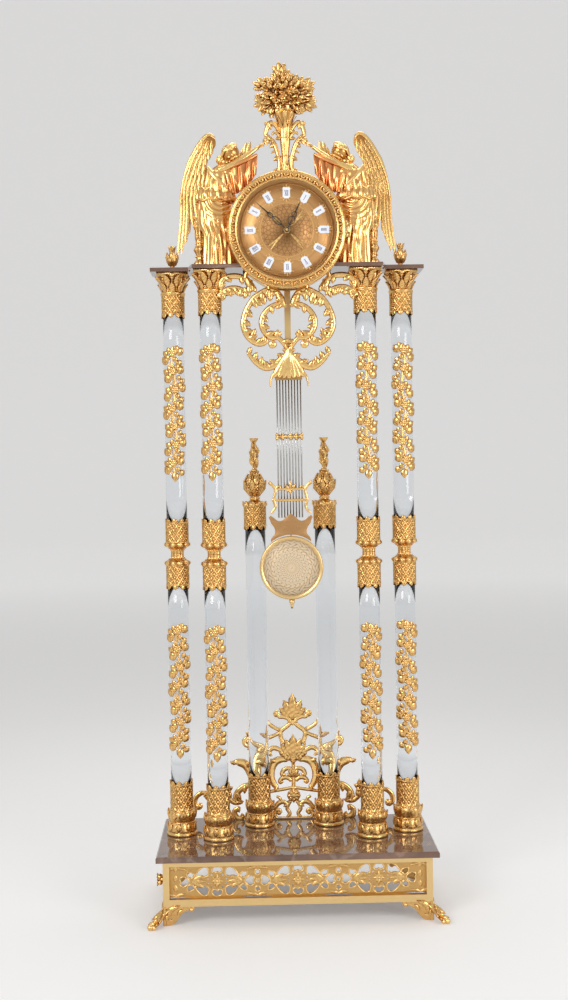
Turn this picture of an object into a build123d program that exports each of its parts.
from build123d import *
from math import atan2, cos, degrees, pi, sin, sqrt
import os

os.makedirs("parts", exist_ok=True)

# A floor clock in cast gilt brass, crystal and marble. The origin is on the floor under the
# middle of the base, +Z is up and the dial faces -Y. All sizes are millimetres.

# Fits
seat_gap = 0.15
body_gap = 0.35
running_gap = 0.05
overrun = 5.0

# Facets: cast rings have one flat for each leaf, large round parts have many short flats
leaf_count = 10
rod_side_count = 16
pin_side_count = 12
bud_count = 8
rim_side_count = 28

# Base
foot_height = 41.5
frame_height = 100.5
frame_width = 592.0
frame_depth = 300.0
frame_wall = 12.0
stile_width = 14.0
top_rail = 13.0
bottom_rail = 15.5
fret_thickness = 2.5
fret_lap = 3.0
medallion_pitch = 178.0
slab_width = 620.0
slab_depth = 330.0
slab_thickness = 13.0
slab_edge = 3.0
foot_plate = 7.0
foot_reach = 66.0
toe_reach = 42.0
toe_inset = 16.0
toe_half_width = 8.0
boss_reach = 17.0
boss_width = 24.0
boss_height = 26.0
boss_from_corner = 34.0

# Columns
inner_column_x = 176.0
inner_column_y = -20.0
outer_column_x = 262.0
outer_column_y = 26.0
rear_column_x = 82.0
rear_column_gap = 8.5
rod_radius = 23.8
band_radius = 26.8
socket_depth = 20.0
base_ring_radius = 35.5
base_ring_height = 58.0
base_height = 125.0
tenon_width = 16.0
tenon_spare = 1.0
screw_radius = 14.0
screw_head = 6.0
lower_rod_length = 446.0
waist_height = 157.0
waist_flange_radius = 29.0
waist_neck_radius = 14.0
upper_rod_length = 464.0
capital_height = 100.0
capital_flare_radius = 35.5
abacus_width = 70.0
abacus_thickness = 7.0
rear_rod_length = 577.0
rear_capital_height = 136.0
rear_band_height = 59.0
rear_finial_radius = 11.5
rear_finial_height = 76.0
column_finial_radius = 15.8
column_finial_height = 56.0
spray_height = 308.0
spray_half_width = 29.0
spray_stem = 6.0
spray_thickness = 3.2
lower_spray_rise = 56.0
upper_spray_rise = 88.0
spray_leaf_pairs = 6

# Top plate and drum
plate_thickness = 9.0
plate_half_width = 311.0
plate_front = -60.0
plate_back = 68.0
plate_shoulder_front = -14.0
plate_shoulder_start = 214.0
plate_shoulder_end = 224.0
dial_rise = 73.0
drum_radius = 124.0
drum_wall = 3.0
drum_front = -62.0
drum_back = 42.0
door_opening_radius = 62.0
door_radius = 67.0
door_thickness = 2.5
slot_half_width = 24.0
slot_front = -8.0
slot_back = 28.0

# Bezel, glass, dial and hands
bezel_radius = 132.0
bezel_lip_radius = 118.0
bezel_depth = 12.7
bezel_lip = 3.0
bezel_bevel_radius = 127.0
glass_radius = 122.2
glass_thickness = 2.0
hinge_pin_radius = 1.5
hinge_axis_x = 136.5
hinge_axis_y = -59.5
hinge_leaf_height = 12.0
hinge_leaf_width = 4.5
hinge_ear_radius = 4.5
door_knuckle_radius = 3.0
door_lug_height = 6.0
catch_reach = 7.0
catch_height = 14.0
dial_recess = 1.5
dial_thickness = 1.5
plaque_radius = 82.0
plaque_width = 17.0
plaque_height = 25.0
plaque_thickness = 1.2
plaque_shoulder = 4.0
bush_radius = 5.0
nut_thickness = 2.2
nut_radius = 8.0
hand_thickness = 0.8
hour_hand_length = 72.0
hour_hand_width = 15.0
minute_hand_length = 94.0
minute_hand_width = 12.0
hand_hub_radius = 6.0
hand_gap = 0.5
minute_step = 1.2
hand_cap_thickness = 1.2
hand_cap_radius = 3.2
hour_hand_turn = -26.0
minute_hand_turn = 48.0

# Movement behind the dial
case_half_width = 34.0
case_above_axis = 26.0
case_below_axis = 66.0
case_depth = 24.0
case_wall = 2.0
arbor_radius = 1.5
tube_radius = 2.6
train_centres = 18.0
cannon_teeth = 8
minute_wheel_teeth = 24
hour_pinion_leaves = 8
hour_wheel_teeth = 32
wheel_thickness = 1.6
pinion_length = 4.0
stud_radius = 1.0
motor_width = 30.0
motor_depth = 9.0
battery_radius = 7.0
battery_length = 50.0
battery_drop = 50.0
coil_radius = 9.0
coil_drop = 30.0
magnet_radius = 6.0
magnet_thickness = 4.0
magnet_gap = 2.0

# Pendulum
pendulum_y = 10.0
pivot_rise = 56.0
pivot_radius = 1.2
jaw_width = 16.0
jaw_height = 14.0
jaw_thickness = 5.0
cock_width = 28.0
cock_foot_height = 26.0
cock_plate = 4.0
spring_width = 8.0
spring_thickness = 0.6
spring_length = 25.0
pendulum_rod_width = 14.0
pendulum_rod_thickness = 3.0
rod_drop = 377.0
grid_length = 324.0
grid_rod_count = 9
grid_rod_pitch = 6.75
grid_rod_width = 3.2
clamp_width = 62.0
clamp_height = 9.0
clamp_thickness = 9.0
clamp_drop = 138.0
lyre_width = 90.0
lyre_rise = 66.0
lyre_strip = 5.0
lyre_thickness = 3.0
plate_top_width = 106.0
lyre_plate_height = 57.0
bob_radius = 73.0
bob_drop = 115.0
bob_thickness = 22.0
bob_rim = 8.0
bob_recess = 2.0
bob_clearance = 3.0
screw_rod_radius = 1.5
rating_nut_radius = 6.5
rating_nut_height = 22.0

# Figures, vase and bouquet over the drum
figure_x = 158.0
figure_y = -17.0
figure_height = 186.0
figure_half_width = 44.0
figure_half_depth = 27.0
fold_count = 12
fold_depth = 0.14
head_radius = 26.0
head_height = 60.0
head_foot = 216.0
figure_lean = 36.0
arm_start = 18.0
arm_end = 7.0
wing_thickness = 7.0
wing_inner_x = 155.0
wing_width = 96.0
wing_rise = 36.0
wing_height = 273.0
arm_thickness = 14.0
drape_thickness = 9.0
seat_x = 196.0
seat_radius = 15.0
seat_height = 118.0
vase_y = -20.0
vase_mouth_radius = 24.5
vase_height = 151.0
vase_seat = 4.0
handle_reach = 45.0
handle_thickness = 8.0
bouquet_radius = 72.0
bouquet_height = 117.0
bouquet_points = 7
bouquet_flatness = 0.55

# Scrollwork under the dial and at the back
apron_back = -44.0
apron_thickness = 8.0
apron_half_width = 106.0
apron_drop = 351.0
apron_height = 221.0
bracket_thickness = 10.0
bracket_height = 66.0
crest_inset = 25.0
crest_thickness = 6.0
crest_half_width = 247.0
crest_height = 304.0

# Levels worked out from the sizes above
frame_top = foot_height + frame_height
slab_top = frame_top + slab_thickness
base_top = slab_top + base_height
waist_bottom = base_top + lower_rod_length
waist_top = waist_bottom + waist_height
capital_bottom = waist_top + upper_rod_length
rear_capital_bottom = base_top + rear_rod_length
capital_top = capital_bottom + capital_height
plate_top = capital_top + plate_thickness
dial_height = plate_top + dial_rise
pivot_height = dial_height + pivot_rise
grid_top = pivot_height - rod_drop
grid_bottom = grid_top - grid_length
lyre_bar_height = grid_bottom + lyre_rise
bob_height = grid_bottom - bob_drop
crest_back = slab_depth / 2 - crest_inset
rear_column_y = crest_back - crest_thickness - rear_column_gap - base_ring_radius
dial_face = drum_front + dial_recess
dial_back = dial_face + dial_thickness
bush_end = dial_face - nut_thickness
hour_hand_back = bush_end - hand_gap
minute_hand_back = hour_hand_back - hand_thickness - minute_step
hand_cap_back = minute_hand_back - hand_thickness
bezel_back = drum_front - body_gap
bezel_front = bezel_back - bezel_depth
glass_front = bezel_front + bezel_lip
case_back = dial_back + case_depth

front_places = [
    (side * x, y)
    for x, y in ((inner_column_x, inner_column_y), (outer_column_x, outer_column_y))
    for side in (-1, 1)
]
rear_places = [(side * rear_column_x, rear_column_y) for side in (-1, 1)]


def front_plane(depth):
    # an upright plane at this Y, seen from the front: X to the right, Z up, growing forward
    return Plane(origin=(0, depth, 0), x_dir=(1, 0, 0), z_dir=(0, -1, 0))


def dial_plane(depth):
    # the same plane centred on the dial
    return Plane(origin=(0, depth, dial_height), x_dir=(1, 0, 0), z_dir=(0, -1, 0))


def scaled(shares, width, height, right=0, up=0):
    # an outline given in shares of a width and a height, from a corner
    return [(right + width * across, up + height * along) for across, along in shares]


def mirrored(points):
    return [(-x, z) for x, z in reversed(points)]


def stroke(centres, start_width, end_width):
    # the outline of a band along its centre points, tapering evenly from end to end
    left, right = [], []
    last = len(centres) - 1
    for index, (x, z) in enumerate(centres):
        x_before, z_before = centres[max(index - 1, 0)]
        x_after, z_after = centres[min(index + 1, last)]
        run, rise = x_after - x_before, z_after - z_before
        reach = sqrt(run**2 + rise**2)
        half = (start_width + (end_width - start_width) * index / last) / 2
        left.append((x - half * rise / reach, z + half * run / reach))
        right.append((x + half * rise / reach, z - half * run / reach))
    return left + right[::-1]


def cast_ring(levels, flats):
    # a cast turning with one flat for each leaf, through the given radii and heights
    with BuildPart() as casting:
        for (radius, height), (next_radius, next_height) in zip(levels, levels[1:]):
            rise = next_height - height
            drawn_in = abs(radius - next_radius) * cos(pi / flats)
            flank = degrees(atan2(drawn_in, rise))
            if radius >= next_radius:
                with BuildSketch(Plane.XY.offset(height)):
                    RegularPolygon(radius, flats)
                extrude(amount=rise, taper=flank)
            else:
                with BuildSketch(Plane.XY.offset(-next_height)):
                    RegularPolygon(next_radius, flats)
                mirror(extrude(amount=rise, taper=flank, mode=Mode.PRIVATE), about=Plane.XY)
    return casting.part


def socket(height, depth, flats):
    # the hollow that takes a rod's end, its flats just clear of the round rod
    with BuildPart() as hollow:
        with BuildSketch(Plane.XY.offset(height)):
            RegularPolygon(rod_radius + seat_gap, flats, major_radius=False)
        extrude(amount=depth)
    return hollow.part


# Base frame: four rails with a window on every side, open above and below
window_height = frame_height - top_rail - bottom_rail
window_middle = foot_height + bottom_rail + window_height / 2
with BuildPart() as base_frame:
    with BuildSketch(Plane.XY.offset(foot_height)):
        Rectangle(frame_width, frame_depth)
        Rectangle(frame_width - 2 * frame_wall, frame_depth - 2 * frame_wall, mode=Mode.SUBTRACT)
    extrude(amount=frame_height)
    with Locations((0, 0, window_middle)):
        Box(frame_width - 2 * stile_width, frame_depth + overrun, window_height, mode=Mode.SUBTRACT)
        Box(frame_width + overrun, frame_depth - 2 * stile_width, window_height, mode=Mode.SUBTRACT)
base_frame.part.label = "base_frame"
export_step(base_frame.part, "parts/base_frame.step")

# Pierced frets behind the windows: medallions with lens, kidney and heart openings
lens_shares = ((-0.13, 0.27), (0.13, 0.27), (0.08, 0.41), (-0.08, 0.41))
kidney_shares = ((0.26, 0.2), (0.48, 0.14), (0.6, 0.18), (0.46, 0.38), (0.28, 0.36))
heart_shares = ((0.86, 0), (1.02, 0.15), (1.14, 0.07), (1.14, -0.07), (1.02, -0.15))
fret_height = window_height + 2 * fret_lap


def pierce_medallion(x, z):
    size = window_height
    for up in (-1, 1):
        Polygon(*scaled(lens_shares, size, up * size, x, z), mode=Mode.SUBTRACT)
        for side in (-1, 1):
            Polygon(*scaled(kidney_shares, side * size, up * size, x, z), mode=Mode.SUBTRACT)
    for side in (-1, 1):
        Polygon(*scaled(heart_shares, side * size, size, x, z), mode=Mode.SUBTRACT)


fret_back = -frame_depth / 2 + frame_wall + seat_gap + fret_thickness
with BuildPart() as front_fret:
    with BuildSketch(front_plane(fret_back)):
        with Locations((0, window_middle)):
            Rectangle(frame_width - 2 * frame_wall - 2 * seat_gap, fret_height)
        for place in (-1, 0, 1):
            pierce_medallion(place * medallion_pitch, window_middle)
    extrude(amount=fret_thickness)
front_fret.part.label = "front_fret"
export_step(front_fret.part, "parts/front_fret.step")

with BuildPart() as back_fret:
    add(mirror(front_fret.part, about=Plane.XZ, mode=Mode.PRIVATE))
back_fret.part.label = "back_fret"
export_step(back_fret.part, "parts/back_fret.step")

side_fret_plane = Plane(
    origin=(-frame_width / 2 + frame_wall + seat_gap + fret_thickness, 0, 0),
    x_dir=(0, -1, 0),
    z_dir=(-1, 0, 0),
)
side_fret_width = frame_depth - 2 * (frame_wall + 2 * seat_gap + fret_thickness)
with BuildPart() as side_frets:
    with BuildSketch(side_fret_plane):
        with Locations((0, window_middle)):
            Rectangle(side_fret_width, fret_height)
        pierce_medallion(0, window_middle)
    extrude(amount=fret_thickness)
    mirror(about=Plane.YZ)
side_frets.part.label = "side_frets"
export_step(side_frets.part, "parts/side_frets.step")

# A small cast leaf on the left side of the frame, near the front corner, its shank on the fret
boss_place = Plane(
    origin=(-frame_width / 2, -frame_depth / 2 + boss_from_corner, window_middle),
    z_dir=(-1, 0, 0),
)
boss_levels = (
    (boss_width / 4, -frame_wall),
    (boss_width / 2, 0),
    (boss_height / 2, boss_reach / 3),
    (boss_width / 5, boss_reach),
)
with BuildPart() as side_boss:
    with Locations(boss_place):
        add(cast_ring(boss_levels, bud_count))
side_boss.part.label = "side_boss"
export_step(side_boss.part, "parts/side_boss.step")

# Corner feet: a bracket wing along each face and a scrolled toe on the corner's diagonal
wing_shares = (
    (0, 1), (0.97, 1), (1, 0.8), (0.91, 0.67), (0.82, 0.75), (0.73, 0.72),
    (0.58, 0.48), (0.41, 0.22), (0.24, 0.05), (0, 0),
)
toe_shares = (
    (0, 1), (0.32, 1), (0.42, 0.6), (0.6, 0.36), (0.86, 0.4), (1, 0.2), (0.95, 0),
    (0.3, 0), (0.05, 0.3),
)
corner_x = -frame_width / 2
corner_y = -frame_depth / 2
toe_plane = Plane(origin=(corner_x, corner_y, 0), x_dir=(-1, -1, 0), z_dir=(-1, 1, 0))
side_wing_plane = Plane(
    origin=(corner_x + foot_plate, 0, 0), x_dir=(0, -1, 0), z_dir=(-1, 0, 0)
)
with BuildPart() as feet:
    with BuildSketch(front_plane(corner_y + foot_plate)):
        Polygon(*scaled(wing_shares, foot_reach, foot_height, corner_x))
    extrude(amount=foot_plate)
    with BuildSketch(side_wing_plane):
        Polygon(*scaled(wing_shares, -foot_reach, foot_height, -corner_y))
    extrude(amount=foot_plate)
    with BuildSketch(toe_plane):
        Polygon(*scaled(toe_shares, toe_reach + toe_inset, foot_height, -toe_inset))
    extrude(amount=toe_half_width, both=True)
    mirror(about=Plane.YZ)
    mirror(about=Plane.XZ)
feet.part.label = "feet"
export_step(feet.part, "parts/feet.step")

# Marble slab with square mortises for the column tenons
tenon_hole = tenon_width + 2 * seat_gap
with BuildPart() as base_slab:
    with BuildSketch(Plane.XY.offset(frame_top)):
        Rectangle(slab_width, slab_depth)
    extrude(amount=slab_thickness)
    chamfer(edges().group_by(Axis.Z)[-1], length=slab_edge)
    with Locations(*[(x, y, frame_top) for x, y in front_places + rear_places]):
        Box(tenon_hole, tenon_hole, 3 * slab_thickness, mode=Mode.SUBTRACT)
base_slab.part.label = "base_slab"
export_step(base_slab.part, "parts/base_slab.step")

# Column bases: a leaf ring, a banded sleeve and a tenon through the slab
base_levels = (
    (base_ring_radius, 0),
    (base_ring_radius, 0.18 * base_ring_height),
    (0.82 * base_ring_radius, 0.45 * base_ring_height),
    (0.98 * base_ring_radius, 0.86 * base_ring_height),
    (band_radius, base_ring_height),
    (band_radius, base_height),
)
with BuildPart() as column_base:
    add(cast_ring(base_levels, leaf_count))
    add(socket(base_height - socket_depth, socket_depth + overrun, leaf_count), mode=Mode.SUBTRACT)
    with Locations((0, 0, -(slab_thickness - tenon_spare) / 2)):
        Box(tenon_width, tenon_width, slab_thickness - tenon_spare)
with BuildPart() as column_bases:
    with Locations(*[(x, y, slab_top) for x, y in front_places + rear_places]):
        add(column_base.part)
column_bases.part.label = "column_bases"
export_step(column_bases.part, "parts/column_bases.step")

# Hex screws that draw the tenons down from below the slab
with BuildPart() as column_screws:
    for x, y in front_places + rear_places:
        with BuildSketch(Plane.XY.offset(frame_top - screw_head)):
            with Locations((x, y)):
                RegularPolygon(screw_radius, 6)
        extrude(amount=screw_head)
        with Locations((x, y, frame_top + tenon_spare / 2)):
            Box(tenon_width / 2, tenon_width / 2, tenon_spare)
column_screws.part.label = "column_screws"
export_step(column_screws.part, "parts/column_screws.step")


# Plain polished crystal rods, each standing in two sockets
rod_runs = [(place, base_top, waist_bottom) for place in front_places]
rod_runs += [(place, waist_top, capital_bottom) for place in front_places]
rod_runs += [(place, base_top, rear_capital_bottom) for place in rear_places]
with BuildPart() as glass_rods:
    for (x, y), foot, top in rod_runs:
        with BuildSketch(Plane.XY.offset(foot - socket_depth)):
            with Locations((x, y)):
                RegularPolygon(rod_radius, rod_side_count)
        extrude(amount=top - foot + 2 * socket_depth)
glass_rods.part.label = "glass_rods"
export_step(glass_rods.part, "parts/glass_rods.step")

# Waist joints between the rods: two sleeves with flanges either side of a narrow neck
waist_levels = (
    (band_radius, 0),
    (band_radius, 0.37 * waist_height),
    (waist_flange_radius, 0.41 * waist_height),
    (waist_neck_radius, 0.5 * waist_height),
    (waist_flange_radius, 0.59 * waist_height),
    (band_radius, 0.63 * waist_height),
    (band_radius, waist_height),
)
with BuildPart() as waist_joint:
    add(cast_ring(waist_levels, leaf_count))
    add(socket(-overrun, socket_depth + overrun, leaf_count), mode=Mode.SUBTRACT)
    add(socket(waist_height - socket_depth, socket_depth + overrun, leaf_count), mode=Mode.SUBTRACT)
with BuildPart() as waist_joints:
    with Locations(*[(x, y, waist_bottom) for x, y in front_places]):
        add(waist_joint.part)
waist_joints.part.label = "waist_joints"
export_step(waist_joints.part, "parts/waist_joints.step")

# Leaf capitals: a sleeve, a pinched neck and a flaring leaf bell under a square abacus
bell_height = capital_height - abacus_thickness
capital_levels = (
    (band_radius, 0),
    (band_radius, 0.62 * bell_height),
    (0.78 * capital_flare_radius, 0.86 * bell_height),
    (capital_flare_radius, bell_height),
)
with BuildPart() as column_capital:
    add(cast_ring(capital_levels, leaf_count))
    add(socket(-overrun, socket_depth + overrun, leaf_count), mode=Mode.SUBTRACT)
    with Locations((0, 0, capital_height - abacus_thickness / 2)):
        Box(abacus_width, abacus_width, abacus_thickness)
with BuildPart() as column_capitals:
    with Locations(*[(x, y, capital_bottom) for x, y in front_places]):
        add(column_capital.part)
column_capitals.part.label = "column_capitals"
export_step(column_capitals.part, "parts/column_capitals.step")

# Rear capitals: a sleeve that carries a pierced urn
rear_levels = (
    (band_radius, 0),
    (band_radius, rear_band_height),
    (0.36 * band_radius, 0.49 * rear_capital_height),
    (0.4 * band_radius, 0.58 * rear_capital_height),
    (0.98 * band_radius, 0.71 * rear_capital_height),
    (0.8 * band_radius, 0.8 * rear_capital_height),
    (0.44 * band_radius, 0.92 * rear_capital_height),
    (0.44 * band_radius, rear_capital_height),
)
with BuildPart() as rear_capital:
    add(cast_ring(rear_levels, leaf_count))
    add(socket(-overrun, socket_depth + overrun, leaf_count), mode=Mode.SUBTRACT)
with BuildPart() as rear_capitals:
    with Locations(*[(x, y, rear_capital_bottom) for x, y in rear_places]):
        add(rear_capital.part)
rear_capitals.part.label = "rear_capitals"
export_step(rear_capitals.part, "parts/rear_capitals.step")

# Finials: a leafy twist with a small cup on each urn, a bud over each outer column
rear_finial_shares = (
    (0.4, 0), (0.26, 0.14), (0.85, 0.28), (0.5, 0.42), (1, 0.56), (0.3, 0.82), (0.74, 0.96),
    (0.7, 1),
)
bud_shares = ((0.42, 0), (0.3, 0.1), (0.9, 0.28), (1, 0.4), (0.3, 0.72), (0.08, 1))


def finial(shares, radius, height, foot):
    return cast_ring([(radius * out, foot + height * up) for out, up in shares], bud_count)


with BuildPart() as rear_finials:
    with Locations(*rear_places):
        add(finial(rear_finial_shares, rear_finial_radius, rear_finial_height,
                   rear_capital_bottom + rear_capital_height))
rear_finials.part.label = "rear_finials"
export_step(rear_finials.part, "parts/rear_finials.step")

with BuildPart() as column_finials:
    with Locations(*[(side * outer_column_x, outer_column_y) for side in (-1, 1)]):
        add(finial(bud_shares, column_finial_radius, column_finial_height, plate_top))
column_finials.part.label = "column_finials"
export_step(column_finials.part, "parts/column_finials.step")

# Leaf sprays on the front of each rod: pointed leaves in staggered pairs along a stem
leaf_step = spray_height / (spray_leaf_pairs + 1)
spray_side = [
    point
    for pair in range(spray_leaf_pairs)
    for point in (
        (spray_stem / 2, (pair + 0.6) * leaf_step),
        (spray_half_width, (pair + 1.1) * leaf_step),
    )
]
spray_outline = [(0, 0)] + spray_side + [(0, spray_height)]
spray_outline += [(-x, z + leaf_step / 3) for x, z in reversed(spray_side)]


def leaf_sprays(foot):
    with BuildPart() as sprays:
        for x, y in front_places:
            with BuildSketch(front_plane(y - rod_radius)):
                Polygon(*[(x + across, foot + up) for across, up in spray_outline])
            extrude(amount=spray_thickness)
    return sprays.part


lower_leaf_sprays = leaf_sprays(base_top + lower_spray_rise)
lower_leaf_sprays.label = "lower_leaf_sprays"
export_step(lower_leaf_sprays, "parts/lower_leaf_sprays.step")

upper_leaf_sprays = leaf_sprays(waist_top + upper_spray_rise)
upper_leaf_sprays.label = "upper_leaf_sprays"
export_step(upper_leaf_sprays, "parts/upper_leaf_sprays.step")

# Rear crest: a pierced fret of scrolls around two palmettes, standing behind the rear columns
palmette_shares = (
    (0, 1), (0.07, 0.93), (0.16, 0.92), (0.13, 0.84), (0.22, 0.8), (0.16, 0.75), (0.06, 0.72),
    (0, 0.64),
)
shield_shares = ((0, 0.72), (0.08, 0.66), (0.16, 0.6), (0.18, 0.46), (0.1, 0.36), (0, 0.3))
root_shares = ((0, 0.36), (0.08, 0.22), (0.05, 0.1), (0.12, 0), (0, 0))
arm_shares = ((0.05, 0.7), (0.2, 0.68), (0.32, 0.58), (0.45, 0.5), (0.54, 0.6))
cross_shares = ((0.14, 0.52), (0.24, 0.6), (0.36, 0.66), (0.44, 0.74))
trumpet_shares = ((0.1, 0.12), (0.3, 0.14), (0.38, 0.24), (0.4, 0.36), (0.53, 0.45))
side_shares = ((0.36, 0.2), (0.5, 0.26), (0.62, 0.2), (0.68, 0.1), (0.78, 0.07), (0.88, 0.18))
tip_shares = ((0.88, 0.18), (0.97, 0.2), (1, 0.12), (0.94, 0.07))
foot_shares = ((0.3, 0.14), (0.42, 0.08), (0.5, 0))
stem_width = crest_height / 26
with BuildPart() as rear_crest:
    with BuildSketch(front_plane(crest_back)):
        for side in (-1, 1):
            for shares in (palmette_shares, shield_shares, root_shares):
                Polygon(*scaled(shares, side * crest_half_width, crest_height, 0, slab_top))
            for shares in (
                arm_shares, cross_shares, trumpet_shares, side_shares, tip_shares, foot_shares,
            ):
                line = scaled(shares, side * crest_half_width, crest_height, 0, slab_top)
                Polygon(*stroke(line, 1.6 * stem_width, stem_width))
        with Locations((0, slab_top + stem_width / 2)):
            Rectangle(crest_half_width, stem_width)
    extrude(amount=crest_thickness)
    with Locations((0, crest_back, slab_top - stem_width)):
        Box(2 * crest_half_width, 3 * crest_thickness, 2 * stem_width, mode=Mode.SUBTRACT)
rear_crest.part.label = "rear_crest"
export_step(rear_crest.part, "parts/rear_crest.step")

# Marble top plate: set forward over the inner columns, with a notch that seats the drum
notch_half = sqrt(drum_radius**2 - (dial_height - plate_top) ** 2) + seat_gap
notch_back = drum_back + door_thickness + seat_gap
plate_half = [
    (notch_half, plate_front),
    (plate_shoulder_start, plate_front),
    (plate_shoulder_end, plate_shoulder_front),
    (plate_half_width, plate_shoulder_front),
    (plate_half_width, plate_back),
]
with BuildPart() as top_plate:
    with BuildSketch(Plane.XY.offset(capital_top)):
        Polygon(*plate_half, *mirrored(plate_half), (-notch_half, notch_back), (notch_half, notch_back))
    extrude(amount=plate_thickness)
top_plate.part.label = "top_plate"
export_step(top_plate.part, "parts/top_plate.step")

# Drum case: a short tube with a back wall, a round inspection opening and a slot below for
# the pendulum, with the hinge lugs of the bezel on its right and of the door at the back
door_axis_x = -(door_radius + door_knuckle_radius)
door_axis_y = drum_back + body_gap + door_knuckle_radius
door_lug_places = [
    dial_height + side * (hinge_leaf_height + door_lug_height + 2 * body_gap) / 2 for side in (-1, 1)
]
with BuildPart() as drum_case:
    with BuildSketch(dial_plane(drum_back)):
        RegularPolygon(drum_radius, rim_side_count)
    extrude(amount=drum_back - drum_front)
    with BuildSketch(dial_plane(drum_back - drum_wall)):
        RegularPolygon(drum_radius - drum_wall, rim_side_count)
    extrude(amount=drum_back - drum_front, mode=Mode.SUBTRACT)
    with BuildSketch(dial_plane(drum_back + overrun)):
        RegularPolygon(door_opening_radius, rim_side_count // 2)
    extrude(amount=drum_wall + 2 * overrun, mode=Mode.SUBTRACT)
    with Locations((0, (slot_front + slot_back) / 2, dial_height - drum_radius)):
        Box(2 * slot_half_width, slot_back - slot_front, 2 * slot_half_width, mode=Mode.SUBTRACT)
    with Locations(((drum_radius - drum_wall + hinge_axis_x) / 2, hinge_axis_y, dial_height)):
        Box(hinge_axis_x - drum_radius + drum_wall, hinge_leaf_width, hinge_leaf_height)
    with BuildSketch(Plane.XY.offset(dial_height - hinge_leaf_height / 2)):
        with Locations((hinge_axis_x, hinge_axis_y)):
            RegularPolygon(door_knuckle_radius, pin_side_count)
    extrude(amount=hinge_leaf_height)
    with Locations(*[(door_axis_x, (drum_back - drum_wall + door_axis_y) / 2, z) for z in door_lug_places]):
        Box(2 * door_knuckle_radius, door_axis_y - drum_back + drum_wall, door_lug_height)
    for x, y in ((hinge_axis_x, hinge_axis_y), (door_axis_x, door_axis_y)):
        with BuildSketch(Plane.XY.offset(dial_height - 2 * hinge_leaf_height)):
            with Locations((x, y)):
                RegularPolygon(hinge_pin_radius + running_gap, pin_side_count, major_radius=False)
        extrude(amount=4 * hinge_leaf_height, mode=Mode.SUBTRACT)
drum_case.part.label = "drum_case"
export_step(drum_case.part, "parts/drum_case.step")

# Inspection door on the back wall, hinged on the side seen first from behind
with BuildPart() as back_door:
    with BuildSketch(dial_plane(drum_back + body_gap + door_thickness)):
        RegularPolygon(door_radius, rim_side_count // 2)
    extrude(amount=door_thickness)
    with Locations((door_radius - catch_reach, drum_back + body_gap + door_thickness + catch_reach / 2,
                    dial_height)):
        Box(catch_reach, catch_reach, catch_height)
    with BuildSketch(Plane.XY.offset(dial_height - hinge_leaf_height / 2)):
        with Locations((door_axis_x, door_axis_y)):
            RegularPolygon(door_knuckle_radius, pin_side_count)
        with Locations((door_axis_x + door_knuckle_radius, drum_back + body_gap + door_thickness / 2)):
            Rectangle(2 * door_knuckle_radius, door_thickness)
    extrude(amount=hinge_leaf_height)
    with BuildSketch(Plane.XY.offset(dial_height - hinge_leaf_height / 2 - door_lug_height)):
        with Locations((door_axis_x, door_axis_y)):
            RegularPolygon(hinge_pin_radius, pin_side_count)
    extrude(amount=hinge_leaf_height + 2 * door_lug_height)
back_door.part.label = "back_door"
export_step(back_door.part, "parts/back_door.step")

# Hinged bezel: a bevelled ring with a lip in front of the glass, a hinge ear above and below
# the drum's lug on the right, and a thumb catch on the left
bezel_levels = (
    (bezel_radius, 0),
    (bezel_radius, bezel_depth - bezel_lip),
    (bezel_bevel_radius, bezel_depth),
)
ear_offset = hinge_leaf_height + body_gap
with BuildPart() as bezel:
    with Locations(dial_plane(bezel_back)):
        add(cast_ring(bezel_levels, rim_side_count))
    with Locations((-bezel_radius, bezel_back - bezel_depth / 2, dial_height)):
        Box(2 * catch_reach, bezel_depth / 2, catch_height)
    for side in (-1, 1):
        ear_height = dial_height + side * ear_offset
        with Locations(((bezel_radius + hinge_axis_x) / 2, bezel_back - hinge_leaf_width / 2, ear_height)):
            Box(2 * (hinge_axis_x - bezel_radius), hinge_leaf_width, hinge_leaf_height)
        with BuildSketch(Plane.XY.offset(ear_height - hinge_leaf_height / 2)):
            with Locations((hinge_axis_x, hinge_axis_y)):
                RegularPolygon(hinge_ear_radius, pin_side_count)
        extrude(amount=hinge_leaf_height)
    with BuildSketch(Plane.XY.offset(dial_height - ear_offset)):
        with Locations((hinge_axis_x, hinge_axis_y)):
            RegularPolygon(hinge_pin_radius, pin_side_count)
    extrude(amount=2 * ear_offset)
    with BuildSketch(dial_plane(bezel_back + overrun)):
        RegularPolygon(bezel_lip_radius, rim_side_count)
    extrude(amount=bezel_depth + 2 * overrun, mode=Mode.SUBTRACT)
    with BuildSketch(dial_plane(bezel_back + overrun)):
        RegularPolygon(glass_radius + seat_gap, rim_side_count)
    extrude(amount=bezel_depth + overrun - bezel_lip, mode=Mode.SUBTRACT)
bezel.part.label = "bezel"
export_step(bezel.part, "parts/bezel.step")

with BuildPart() as dial_glass:
    with BuildSketch(dial_plane(glass_front + glass_thickness)):
        RegularPolygon(glass_radius, rim_side_count)
    extrude(amount=glass_thickness)
dial_glass.part.label = "dial_glass"
export_step(dial_glass.part, "parts/dial_glass.step")

# Dial plate inside the drum's mouth, with twelve raised plaques for the hours
with BuildPart() as dial_plate:
    with BuildSketch(dial_plane(dial_back)):
        RegularPolygon(drum_radius - drum_wall - seat_gap, rim_side_count)
        RegularPolygon(bush_radius + seat_gap, pin_side_count, major_radius=False, mode=Mode.SUBTRACT)
    extrude(amount=dial_thickness)
dial_plate.part.label = "dial_plate"
export_step(dial_plate.part, "parts/dial_plate.step")

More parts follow.
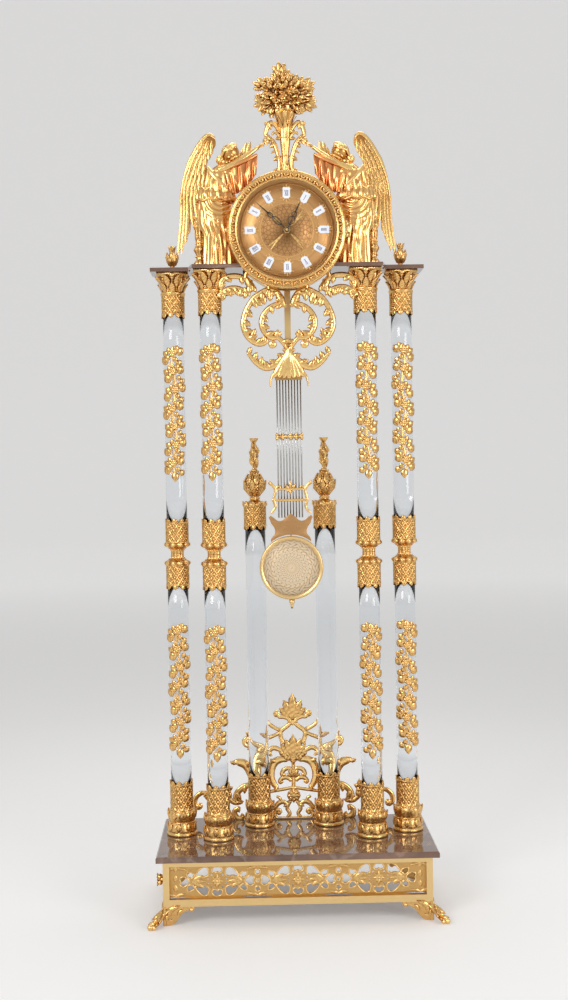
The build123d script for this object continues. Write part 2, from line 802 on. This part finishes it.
plaque_outline = (
    (plaque_shoulder - plaque_width / 2, -plaque_height / 2),
    (plaque_width / 2 - plaque_shoulder, -plaque_height / 2),
    (plaque_width / 2, plaque_shoulder - plaque_height / 2),
    (plaque_width / 2, plaque_height / 2),
    (-plaque_width / 2, plaque_height / 2),
    (-plaque_width / 2, plaque_shoulder - plaque_height / 2),
)
with BuildPart() as numeral_plaques:
    with BuildSketch(dial_plane(dial_face)):
        with PolarLocations(plaque_radius, 12):
            Polygon(*plaque_outline, rotation=-90)
    extrude(amount=plaque_thickness)
numeral_plaques.part.label = "numeral_plaques"
export_step(numeral_plaques.part, "parts/numeral_plaques.step")

# Hands: a hub, a leafy bulb and a slim blade, pointing up before they are turned to the time
hand_shares = ((0.22, 0), (0.12, 0.16), (0.5, 0.3), (0.42, 0.42), (0.12, 0.52), (0.3, 0.6), (0.06, 0.7))


def hand(length, width, bore, turn, back):
    side = scaled(hand_shares, width, length)
    with BuildPart() as pointer:
        with BuildSketch(dial_plane(back)):
            Polygon(*side, (0, length), *mirrored(side))
            RegularPolygon(hand_hub_radius, bud_count)
            RegularPolygon(bore + running_gap, pin_side_count, major_radius=False, mode=Mode.SUBTRACT)
        extrude(amount=hand_thickness)
    return pointer.part.rotate(Axis((0, 0, dial_height), (0, -1, 0)), turn)


hour_hand = hand(hour_hand_length, hour_hand_width, tube_radius, hour_hand_turn, hour_hand_back)
hour_hand.label = "hour_hand"
export_step(hour_hand, "parts/hour_hand.step")

minute_hand = hand(
    minute_hand_length, minute_hand_width, arbor_radius, minute_hand_turn, minute_hand_back
)
minute_hand.label = "minute_hand"
export_step(minute_hand, "parts/minute_hand.step")

with BuildPart() as hand_cap:
    with BuildSketch(dial_plane(hand_cap_back)):
        RegularPolygon(hand_cap_radius, bud_count)
    extrude(amount=hand_cap_thickness)
hand_cap.part.label = "hand_cap"
export_step(hand_cap.part, "parts/hand_cap.step")

# Movement case: a shallow box behind the dial, open at the back, with a fixing bush through
# the dial and a stud for the minute wheel
stud_height = dial_height - train_centres
case_middle = dial_height + (case_above_axis - case_below_axis) / 2
case_height = case_above_axis + case_below_axis
with BuildPart() as movement_case:
    with BuildSketch(front_plane(case_back)):
        with Locations((0, case_middle)):
            Rectangle(2 * case_half_width, case_height)
    extrude(amount=case_depth)
    with BuildSketch(front_plane(case_back)):
        with Locations((0, case_middle)):
            Rectangle(2 * (case_half_width - case_wall), case_height - 2 * case_wall)
    extrude(amount=case_depth - case_wall, mode=Mode.SUBTRACT)
    with BuildSketch(dial_plane(dial_back)):
        RegularPolygon(bush_radius, pin_side_count)
    extrude(amount=dial_thickness + nut_thickness)
    with BuildSketch(dial_plane(dial_back + 2 * case_wall)):
        RegularPolygon(tube_radius + running_gap, pin_side_count, major_radius=False)
    extrude(amount=dial_thickness + 3 * case_wall + nut_thickness, mode=Mode.SUBTRACT)
    with BuildSketch(front_plane(case_back - motor_depth - case_wall)):
        with Locations((0, stud_height)):
            RegularPolygon(stud_radius, pin_side_count)
    extrude(amount=case_depth - motor_depth - 2 * case_wall)
movement_case.part.label = "movement_case"
export_step(movement_case.part, "parts/movement_case.step")

with BuildPart() as fixing_nut:
    with BuildSketch(dial_plane(dial_face)):
        RegularPolygon(nut_radius, 6)
        RegularPolygon(bush_radius, pin_side_count, mode=Mode.SUBTRACT)
    extrude(amount=nut_thickness)
fixing_nut.part.label = "fixing_nut"
export_step(fixing_nut.part, "parts/fixing_nut.step")

with BuildPart() as movement_cover:
    with BuildSketch(front_plane(case_back + case_wall)):
        with Locations((0, case_middle)):
            Rectangle(2 * case_half_width, case_height)
    extrude(amount=case_wall)
movement_cover.part.label = "movement_cover"
export_step(movement_cover.part, "parts/movement_cover.step")

# Motion work: the cannon pinion turns the minute wheel once in three turns, and the minute
# wheel's pinion turns the hour wheel once in four of its own. Teeth are pointed and deeply
# cut, so that there is backlash at the pitch line.
addendum_share = 0.75
dedendum_share = 1.4


def toothed_outline(teeth, module):
    pitch_radius = module * teeth / 2
    tip_radius = pitch_radius + addendum_share * module
    root_radius = pitch_radius - dedendum_share * module
    points = []
    for tooth in range(teeth):
        for radius, place in ((root_radius, 0), (tip_radius, 0.5)):
            angle = 2 * pi * (tooth + place) / teeth
            points.append((radius * cos(angle), radius * sin(angle)))
    return points


minute_module = 2 * train_centres / (cannon_teeth + minute_wheel_teeth)
hour_module = 2 * train_centres / (hour_pinion_leaves + hour_wheel_teeth)
hour_wheel_back = dial_back + case_wall + body_gap + wheel_thickness
pinion_back = hour_wheel_back + pinion_length / 2
minute_wheel_back = pinion_back + wheel_thickness
motor_front = case_back - motor_depth
with BuildPart() as minute_arbor:
    with BuildSketch(dial_plane(minute_wheel_back)):
        Polygon(*toothed_outline(cannon_teeth, minute_module), rotation=180 / cannon_teeth)
    extrude(amount=wheel_thickness)
    with BuildSketch(dial_plane(motor_front + motor_depth / 2)):
        RegularPolygon(arbor_radius, pin_side_count)
    extrude(amount=motor_front + motor_depth / 2 - hand_cap_back)
minute_arbor.part.label = "minute_arbor"
export_step(minute_arbor.part, "parts/minute_arbor.step")

with BuildPart() as minute_wheel:
    with BuildSketch(front_plane(minute_wheel_back)):
        with Locations((0, stud_height)):
            Polygon(*toothed_outline(minute_wheel_teeth, minute_module))
    extrude(amount=wheel_thickness)
    with BuildSketch(front_plane(pinion_back)):
        with Locations((0, stud_height)):
            Polygon(*toothed_outline(hour_pinion_leaves, hour_module))
    extrude(amount=pinion_back - hour_wheel_back + wheel_thickness)
    with BuildSketch(front_plane(minute_wheel_back)):
        with Locations((0, stud_height)):
            RegularPolygon(stud_radius + running_gap, pin_side_count, major_radius=False)
    extrude(amount=minute_wheel_back - hour_wheel_back + 2 * wheel_thickness, mode=Mode.SUBTRACT)
minute_wheel.part.label = "minute_wheel"
export_step(minute_wheel.part, "parts/minute_wheel.step")

with BuildPart() as hour_wheel:
    with BuildSketch(dial_plane(hour_wheel_back)):
        Polygon(*toothed_outline(hour_wheel_teeth, hour_module), rotation=180 / hour_wheel_teeth)
    extrude(amount=wheel_thickness)
    with BuildSketch(dial_plane(hour_wheel_back)):
        RegularPolygon(tube_radius, pin_side_count)
    extrude(amount=hour_wheel_back - hour_hand_back + hand_thickness)
    with BuildSketch(dial_plane(hour_wheel_back)):
        RegularPolygon(arbor_radius + running_gap, pin_side_count, major_radius=False)
    extrude(amount=hour_wheel_back - hour_hand_back + overrun, mode=Mode.SUBTRACT)
hour_wheel.part.label = "hour_wheel"
export_step(hour_wheel.part, "parts/hour_wheel.step")

# Stepping motor behind the arbor, battery under it, and the coil that keeps the pendulum going
with BuildPart() as step_motor:
    with BuildSketch(dial_plane(case_back)):
        Rectangle(motor_width, motor_width)
        RegularPolygon(arbor_radius + running_gap, pin_side_count, major_radius=False, mode=Mode.SUBTRACT)
    extrude(amount=motor_depth)
step_motor.part.label = "step_motor"
export_step(step_motor.part, "parts/step_motor.step")

with BuildPart() as battery:
    with BuildSketch(Plane.YZ):
        with Locations((case_back - battery_radius - seat_gap, dial_height - battery_drop)):
            RegularPolygon(battery_radius, rod_side_count)
    extrude(amount=battery_length / 2, both=True)
battery.part.label = "battery"
export_step(battery.part, "parts/battery.step")

coil_back = pendulum_y - pendulum_rod_thickness / 2 - magnet_thickness - magnet_gap
with BuildPart() as drive_coil:
    with BuildSketch(dial_plane(coil_back)):
        with Locations((0, -coil_drop)):
            RegularPolygon(coil_radius, rod_side_count)
    extrude(amount=coil_back - case_back - case_wall)
drive_coil.part.label = "drive_coil"
export_step(drive_coil.part, "parts/drive_coil.step")

# Suspension cock on the back wall: a foot, an arm and two jaws bored for the pivot
cock_foot_bottom = dial_height + door_opening_radius + cock_plate
arm_height = pivot_height + jaw_height
with BuildPart() as pendulum_cock:
    with Locations((0, drum_back - drum_wall - cock_plate / 2, cock_foot_bottom + cock_foot_height / 2)):
        Box(cock_width, cock_plate, cock_foot_height)
    arm_front = pendulum_y - spring_thickness / 2 - body_gap - jaw_thickness
    arm_length = drum_back - drum_wall - arm_front
    with Locations((0, arm_front + arm_length / 2, arm_height)):
        Box(jaw_width, arm_length, cock_plate)
    for side in (-1, 1):
        jaw_y = pendulum_y + side * (spring_thickness / 2 + body_gap + jaw_thickness / 2)
        with Locations((0, jaw_y, pivot_height + jaw_height / 4)):
            Box(jaw_width, jaw_thickness, 1.5 * jaw_height)
    with BuildSketch(front_plane(pendulum_y)):
        with Locations((0, pivot_height)):
            RegularPolygon(pivot_radius + running_gap, pin_side_count, major_radius=False)
    extrude(amount=2 * jaw_thickness, both=True, mode=Mode.SUBTRACT)
pendulum_cock.part.label = "pendulum_cock"
export_step(pendulum_cock.part, "parts/pendulum_cock.step")

# Suspension: a flat steel spring with its cross pin in the jaws
with BuildPart() as suspension_spring:
    with Locations((0, pendulum_y, pivot_height + 3 * pivot_radius - spring_length / 2)):
        Box(spring_width, spring_thickness, spring_length)
    with BuildSketch(front_plane(pendulum_y)):
        with Locations((0, pivot_height)):
            RegularPolygon(pivot_radius, pin_side_count)
    extrude(amount=jaw_thickness + body_gap + spring_thickness / 2, both=True)
suspension_spring.part.label = "suspension_spring"
export_step(suspension_spring.part, "parts/suspension_spring.step")

# Pendulum rod: a flat strip from the spring down to the bridge of the grid
rod_top = pivot_height + 3 * pivot_radius - spring_length
with BuildPart() as pendulum_rod:
    with Locations((0, pendulum_y, (rod_top + grid_top) / 2)):
        Box(pendulum_rod_width, pendulum_rod_thickness, rod_top - grid_top)
    with Locations((0, pendulum_y - (pendulum_rod_thickness + spring_thickness) / 2, rod_top)):
        Box(spring_width, pendulum_rod_thickness, spring_width)
pendulum_rod.part.label = "pendulum_rod"
export_step(pendulum_rod.part, "parts/pendulum_rod.step")

with BuildPart() as drive_magnet:
    with BuildSketch(dial_plane(pendulum_y - pendulum_rod_thickness / 2)):
        with Locations((0, -coil_drop)):
            RegularPolygon(magnet_radius, bud_count)
    extrude(amount=magnet_thickness)
drive_magnet.part.label = "drive_magnet"
export_step(drive_magnet.part, "parts/drive_magnet.step")

# Gridiron: nine steel rods hung from a bridge, held by a clamp at mid height
grid_span = (grid_rod_count - 1) * grid_rod_pitch
grid_places = [index * grid_rod_pitch - grid_span / 2 for index in range(grid_rod_count)]
with BuildPart() as gridiron_rods:
    with Locations(*[(x, pendulum_y, (grid_top - clamp_height + grid_bottom) / 2) for x in grid_places]):
        Box(grid_rod_width, grid_rod_width, grid_top - clamp_height - grid_bottom)
gridiron_rods.part.label = "gridiron_rods"
export_step(gridiron_rods.part, "parts/gridiron_rods.step")

with BuildPart() as gridiron_bridge:
    with Locations((0, pendulum_y, grid_top - clamp_height / 2)):
        Box(clamp_width, clamp_thickness, clamp_height)
gridiron_bridge.part.label = "gridiron_bridge"
export_step(gridiron_bridge.part, "parts/gridiron_bridge.step")

with BuildPart() as gridiron_clamp:
    with Locations((0, pendulum_y, grid_top - clamp_drop)):
        Box(clamp_width, clamp_thickness, clamp_height)
        Box(
            grid_span + grid_rod_width + 2 * seat_gap, grid_rod_width + 2 * seat_gap,
            2 * clamp_height, mode=Mode.SUBTRACT,
        )
gridiron_clamp.part.label = "gridiron_clamp"
export_step(gridiron_clamp.part, "parts/gridiron_clamp.step")

# Lyre in front of the rods: a crowned bar with two horned arms, over a waisted plate
lyre_back = pendulum_y - grid_rod_width / 2
lyre_arm_shares = ((0.5, 0.3), (0.38, 0.02), (0.42, -0.3), (0.36, -0.6), (0.52, -0.85))
crown_shares = ((-0.09, 0.02), (0.09, 0.02), (0, 0.3))
lyre_drop = lyre_bar_height - grid_bottom
with BuildPart() as lyre_frame:
    with BuildSketch(front_plane(lyre_back)):
        for side in (-1, 1):
            arm = scaled(lyre_arm_shares, side * lyre_width, lyre_drop, 0, lyre_bar_height)
            Polygon(*stroke(arm, lyre_strip, lyre_strip))
        for drop in (0, lyre_drop / 3):
            with Locations((0, lyre_bar_height - drop)):
                Rectangle(0.8 * lyre_width, lyre_strip)
        Polygon(*scaled(crown_shares, lyre_width, lyre_drop, 0, lyre_bar_height))
    extrude(amount=lyre_thickness)
lyre_frame.part.label = "lyre_frame"
export_step(lyre_frame.part, "parts/lyre_frame.step")

bob_top = bob_height + bob_radius
lyre_plate_bottom = bob_top - bob_radius / 6
lyre_plate_shares = (
    (0, 1), (0.14, 1.02), (0.22, 0.9), (0.36, 0.96), (0.5, 1.02), (0.46, 0.72), (0.3, 0.5),
    (0.28, 0.24), (0.42, 0.1), (0.44, 0),
)
lyre_plate_side = scaled(lyre_plate_shares, plate_top_width, lyre_plate_height, 0, lyre_plate_bottom)
with BuildPart() as lyre_plate:
    with BuildSketch(front_plane(lyre_back)):
        Polygon(*lyre_plate_side, *mirrored(lyre_plate_side[1:]))
        with Locations((0, bob_height)):
            RegularPolygon(bob_radius + bob_clearance, rim_side_count, mode=Mode.SUBTRACT)
    extrude(amount=lyre_thickness)
lyre_plate.part.label = "lyre_plate"
export_step(lyre_plate.part, "parts/lyre_plate.step")

# Rating screw from the plate down through the bob, and the nut that carries the bob
nut_top = bob_height - bob_radius
screw_top = bob_top + bob_clearance + lyre_plate_height / 2
with BuildPart() as rating_screw:
    with BuildSketch(Plane.XY.offset(nut_top - 0.7 * rating_nut_height)):
        with Locations((0, pendulum_y)):
            RegularPolygon(screw_rod_radius, pin_side_count)
    extrude(amount=screw_top - nut_top + 0.7 * rating_nut_height)
rating_screw.part.label = "rating_screw"
export_step(rating_screw.part, "parts/rating_screw.step")

with BuildPart() as bob:
    with BuildSketch(Plane(origin=(0, pendulum_y + bob_thickness / 2, bob_height),
                           x_dir=(1, 0, 0), z_dir=(0, -1, 0))):
        RegularPolygon(bob_radius, rim_side_count)
    extrude(amount=bob_thickness)
    with BuildSketch(Plane(origin=(0, pendulum_y - bob_thickness / 2 + bob_recess, bob_height),
                           x_dir=(1, 0, 0), z_dir=(0, -1, 0))):
        RegularPolygon(bob_radius - bob_rim, rim_side_count)
    extrude(amount=bob_recess, mode=Mode.SUBTRACT)
    with BuildSketch(Plane.XY.offset(nut_top - overrun)):
        with Locations((0, pendulum_y)):
            RegularPolygon(screw_rod_radius + running_gap, pin_side_count, major_radius=False)
    extrude(amount=2 * (bob_radius + overrun), mode=Mode.SUBTRACT)
bob.part.label = "bob"
export_step(bob.part, "parts/bob.step")

nut_levels = (
    (rating_nut_radius / 3, -rating_nut_height),
    (rating_nut_radius, -0.3 * rating_nut_height),
    (rating_nut_radius, -body_gap),
)
with BuildPart() as rating_nut:
    with Locations((0, pendulum_y, nut_top)):
        add(cast_ring(nut_levels, bud_count))
    with BuildSketch(Plane.XY.offset(nut_top - rating_nut_height - overrun)):
        with Locations((0, pendulum_y)):
            RegularPolygon(screw_rod_radius + running_gap, pin_side_count, major_radius=False)
    extrude(amount=rating_nut_height + 2 * overrun, mode=Mode.SUBTRACT)
rating_nut.part.label = "rating_nut"
export_step(rating_nut.part, "parts/rating_nut.step")


def skin(rings):
    # a solid with flat triangular faces between level rings, each with the same count of points
    faces = [Face(Wire.make_polygon(ring)) for ring in (rings[0], rings[-1])]
    for lower, upper in zip(rings, rings[1:]):
        for index in range(len(lower)):
            after = (index + 1) % len(lower)
            faces.append(Face(Wire.make_polygon([lower[index], lower[after], upper[after]])))
            faces.append(Face(Wire.make_polygon([lower[index], upper[after], upper[index]])))
    return Solid(Shell(faces))


def pleated_ring(middle_x, middle_y, height, half_width, half_depth, folds, depth, side_dip):
    # a level oval whose radius dips at every other point, with a dip at each side if side_dip is 1
    points = []
    for index in range(folds):
        reach = 1 - depth * ((index + side_dip) % 2)
        angle = 2 * pi * index / folds
        points.append(
            (middle_x + half_width * reach * cos(angle), middle_y + half_depth * reach * sin(angle), height)
        )
    return points


def drum_clearance(front, back):
    # the space of the drum, to be cut from what rests on it
    with BuildPart() as space:
        with BuildSketch(dial_plane(back)):
            RegularPolygon(drum_radius + seat_gap, rim_side_count)
        extrude(amount=back - front)
    return space.part


drum_space = drum_clearance(drum_front - overrun, drum_back + overrun)

# Winged figures leaning on the drum, one the mirror of the other: a pleated robe, a head, an
# arm raised to the vase and a cloth hanging from it
robe_shares = (
    (1, 1, 0), (0.97, 0.86, 0.5), (1, 0.7, 0.9), (1.01, 0.77, 1), (0.92, 0.68, 1.18),
    (0.87, 0.27, 1.25),
)
arm_line_shares = ((0.85, 1.2), (0.66, 1.25), (0.56, 1.3), (0.38, 1.4), (0.3, 1.46))
cloth_shares = (
    (0.4, 1.35), (0.43, 1.12), (0.6, 1.04), (0.74, 0.84), (0.95, 0.84), (0.95, 1.18), (0.66, 1.24),
)
with BuildPart() as figures:
    rings = [
        pleated_ring(
            figure_x * across, figure_y, plate_top + figure_height * up,
            figure_half_width * width / (1 - fold_depth), figure_half_depth * min(1, 2 * width),
            fold_count, fold_depth, 1,
        )
        for across, width, up in robe_shares
    ]
    add(skin(rings))
    head_levels = ((0.5, 0), (0.95, 0.25), (1, 0.6), (0.5, 1))
    with Locations((figure_x - figure_lean, figure_y, plate_top + head_foot)):
        add(cast_ring([(head_radius * out, head_height * up) for out, up in head_levels], bud_count))
    with BuildSketch(front_plane(figure_y)):
        Polygon(*stroke(scaled(arm_line_shares, figure_x, figure_height, 0, plate_top), arm_start, arm_end))
    extrude(amount=arm_thickness / 2, both=True)
    with BuildSketch(front_plane(figure_y)):
        Polygon(*scaled(cloth_shares, figure_x, figure_height, 0, plate_top))
    extrude(amount=drape_thickness / 2, both=True)
    mirror(about=Plane.YZ)
    add(drum_space, mode=Mode.SUBTRACT)
figures.part.label = "figures"
export_step(figures.part, "parts/figures.step")

# Wings: a tall folded wing behind each shoulder, a root behind the back, and the far wing's
# tip between the head and the vase
wing_back = figure_y + figure_half_depth + seat_gap + wing_thickness
wing_foot = plate_top + wing_rise
wing_edge_shares = (
    (0.135, 0.998), (-0.01, 0.945), (-0.01, 0.89), (0.05, 0.817), (0.177, 0.762), (0.156, 0.7),
    (-0.15, 0.68), (-0.12, 0.57), (0.3, 0.57), (0.385, 0.542), (0.458, 0.275), (0.552, 0.249),
    (0.667, 0.176), (0.698, 0.03), (0.8, 0.04), (0.948, 0), (1, 0.158), (0.958, 0.396),
    (0.844, 0.597), (0.646, 0.78), (0.458, 0.89), (0.28, 0.97),
)
far_wing_shares = (
    (-0.82, 0.91), (-0.93, 0.76), (-0.86, 0.6), (-0.4, 0.54), (0, 0.56), (0, 0.69),
    (-0.5, 0.74), (-0.72, 0.82),
)
with BuildPart() as wings:
    with BuildSketch(front_plane(wing_back)):
        for shares in (wing_edge_shares, far_wing_shares):
            Polygon(*scaled(shares, wing_width, wing_height, wing_inner_x, wing_foot))
    extrude(amount=wing_thickness)
    mirror(about=Plane.YZ)
wings.part.label = "wings"
export_step(wings.part, "parts/wings.step")

# Turned seats behind the robes
seat_shares = ((1, 0), (1, 0.12), (0.6, 0.3), (1, 0.88), (1, 1))
seat_y = figure_y + figure_half_depth - seat_radius
with BuildPart() as seats:
    with Locations(*[(side * seat_x, seat_y, plate_top) for side in (-1, 1)]):
        add(cast_ring([(seat_radius * out, seat_height * up) for out, up in seat_shares], bud_count))
    add(figures.part, mode=Mode.SUBTRACT)
seats.part.label = "seats"
export_step(seats.part, "parts/seats.step")

# Vase on the drum, its handles, and the bouquet it holds
vase_shares = ((0.9, 0), (0.82, 0.06), (0.37, 0.14), (0.31, 0.35), (0.33, 0.62), (0.53, 0.79), (1, 1))
vase_foot = dial_height + drum_radius - vase_seat
vase_top = vase_foot + vase_height
with BuildPart() as vase:
    with Locations((0, vase_y)):
        add(cast_ring([(vase_mouth_radius * out, vase_foot + vase_height * up)
                       for out, up in vase_shares], leaf_count))
    add(drum_space, mode=Mode.SUBTRACT)
vase.part.label = "vase"
export_step(vase.part, "parts/vase.step")

handle_outer_shares = (
    (0.34, 0.76), (0.42, 0.84), (0.62, 0.9), (0.78, 0.88), (0.93, 0.79), (1, 0.7), (0.97, 0.62),
)
handle_inner_shares = ((0.3, 0.66), (0.42, 0.74), (0.56, 0.75), (0.64, 0.68))
handle_stem_shares = ((0.8, 0.64), (0.58, 0.57), (0.42, 0.45), (0.3, 0.34), (0.37, 0.17), (0.42, 0.09))
handle_lines = (handle_outer_shares, handle_inner_shares, handle_stem_shares)
with BuildPart() as vase_handles:
    with BuildSketch(front_plane(vase_y)):
        for side in (-1, 1):
            for shares in handle_lines:
                line = scaled(shares, side * handle_reach, vase_height, 0, vase_foot)
                Polygon(*stroke(line, 0.9 * handle_thickness, 0.6 * handle_thickness))
            with Locations((side * 0.97 * handle_reach, vase_foot + 0.62 * vase_height)):
                RegularPolygon(handle_thickness, bud_count)
    extrude(amount=handle_thickness / 2, both=True)
    add(vase.part, mode=Mode.SUBTRACT)
vase_handles.part.label = "vase_handles"
export_step(vase_handles.part, "parts/vase_handles.step")

bouquet_shares = (
    (0.3, 0), (0.83, 0.1), (1, 0.19), (0.83, 0.43), (0.94, 0.63), (0.47, 0.75), (0.28, 0.9), (0.06, 1),
)
with BuildPart() as bouquet:
    rings = [
        pleated_ring(0, vase_y, vase_top + bouquet_height * up, bouquet_radius * out,
                     bouquet_flatness * bouquet_radius * out, 2 * bouquet_points, 2 * fold_depth, 0)
        for out, up in bouquet_shares
    ]
    add(skin(rings))
bouquet.part.label = "bouquet"
export_step(bouquet.part, "parts/bouquet.step")

# Apron under the dial: two pairs of scrolls, a fan and a prong, hung from the drum
outer_scroll_shares = (
    (0, 0.78), (0.08, 0.83), (0.18, 0.92), (0.33, 0.99), (0.47, 0.99), (0.6, 0.94), (0.76, 0.87),
    (0.88, 0.79), (0.99, 0.65), (0.95, 0.53), (0.8, 0.44), (0.62, 0.4), (0.49, 0.44), (0.44, 0.49),
)
inner_scroll_shares = (
    (0.06, 0.8), (0.25, 0.8), (0.43, 0.77), (0.55, 0.7), (0.61, 0.63), (0.58, 0.55), (0.47, 0.5),
    (0.36, 0.42),
)
crossing_shares = (
    (-0.44, 0.49), (-0.19, 0.49), (-0.08, 0.42), (0.02, 0.35), (0.11, 0.27), (0.26, 0.2),
    (0.42, 0.17), (0.6, 0.19), (0.77, 0.26), (0.92, 0.34),
)
prong_shares = ((0.26, 0.2), (0.34, 0.12), (0.42, 0.05), (0.43, 0))
hanger_shares = ((0.4, 0.98), (0.4, 1.12))
fan_shares = ((0, 0.38), (-0.36, 0.12), (-0.2, 0.15), (0, 0.08), (0.2, 0.15), (0.36, 0.12))
scroll_width = apron_half_width / 9
apron_foot = dial_height - apron_drop
with BuildPart() as apron:
    with BuildSketch(front_plane(apron_back)):
        for side in (-1, 1):
            for shares, start, end in (
                (outer_scroll_shares, 1, 0.6), (inner_scroll_shares, 0.85, 1),
                (crossing_shares, 0.8, 0.4), (prong_shares, 0.5, 0.2), (hanger_shares, 0.8, 0.8),
            ):
                line = scaled(shares, side * apron_half_width, apron_height, 0, apron_foot)
                Polygon(*stroke(line, start * scroll_width, end * scroll_width))
        Polygon(*scaled(fan_shares, apron_half_width, apron_height, 0, apron_foot))
    extrude(amount=apron_thickness)
    add(drum_space, mode=Mode.SUBTRACT)
apron.part.label = "apron"
export_step(apron.part, "parts/apron.step")

# Scroll brackets behind the apron, from the inner capitals up to the drum
bracket_front = apron_back + seat_gap + bracket_thickness
bracket_foot = capital_bottom + capital_height / 3
upper_bracket_shares = (
    (1, 0.3), (0.86, 0.45), (0.78, 0.64), (0.66, 0.7), (0.53, 0.64), (0.43, 0.4), (0.38, 0.16),
)
lower_bracket_shares = ((1, 0), (0.84, 0.1), (0.76, 0.26), (0.64, 0.3), (0.54, 0.16), (0.5, 0.04))
bracket_stem_shares = ((0.53, 0.6), (0.5, 1.1))
with BuildPart() as brackets:
    with BuildSketch(front_plane(bracket_front)):
        for side in (-1, 1):
            for shares in (upper_bracket_shares, lower_bracket_shares, bracket_stem_shares):
                line = scaled(shares, side * inner_column_x, bracket_height, 0, bracket_foot)
                Polygon(*stroke(line, bracket_thickness, 0.8 * bracket_thickness))
    extrude(amount=bracket_thickness)
    add(drum_space, mode=Mode.SUBTRACT)
    add(column_capitals.part, mode=Mode.SUBTRACT)
brackets.part.label = "brackets"
export_step(brackets.part, "parts/brackets.step")
